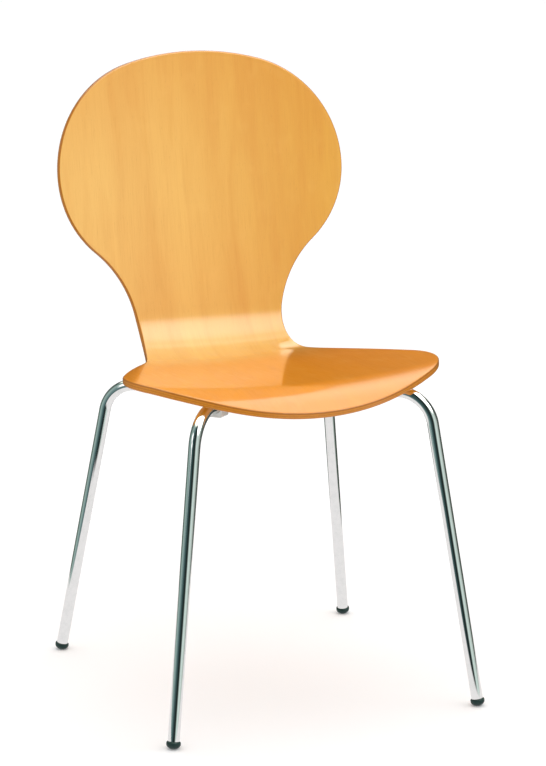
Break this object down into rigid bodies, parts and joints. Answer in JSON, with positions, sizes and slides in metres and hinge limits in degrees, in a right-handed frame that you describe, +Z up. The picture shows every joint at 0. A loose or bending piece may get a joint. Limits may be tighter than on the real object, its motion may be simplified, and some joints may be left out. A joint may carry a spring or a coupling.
{
  "type": "stacking chair",
  "caption": "Stacking chair with a waisted, round-backed bent plywood shell on splayed chromed tube legs that bend inward under the seat.",
  "frame": {"origin": "on the floor, under the middle of the bounding box", "axes": "+Z up, -Y the way a sitter faces, +X to the right of someone looking at the chair's front"},
  "size_m": [0.4696, 0.5226, 0.8589],
  "materials": {
    "veneer": "glossy clear lacquer on beech-coloured veneer",
    "chrome": "bright chrome plate",
    "bare_steel": "satin grey coated steel",
    "zinc": "zinc plated",
    "rubber": "matt",
    "dark_plastic": "satin dark green-black moulding",
    "clear_plastic": "translucent moulding"
  },
  "bodies": {
    "root": {"seat_shell": "veneer", "mounting_plate": "bare_steel", "frame_hub": "bare_steel", "leg_front_left": "chrome", "glide_front_left": "dark_plastic", "bumper_front_left": "clear_plastic", "leg_front_right": "chrome", "glide_front_right": "dark_plastic", "bumper_front_right": "clear_plastic", "leg_rear_left": "chrome", "glide_rear_left": "dark_plastic", "bumper_rear_left": "clear_plastic", "leg_rear_right": "chrome", "glide_rear_right": "dark_plastic", "bumper_rear_right": "clear_plastic", "insert_front": "zinc", "screw_front": "zinc", "spacer_right": "rubber", "insert_right": "zinc", "screw_right": "zinc", "spacer_rear": "rubber", "insert_rear": "zinc", "screw_rear": "zinc", "spacer_left": "rubber", "insert_left": "zinc", "screw_left": "zinc"}
  },
  "joints": []
}
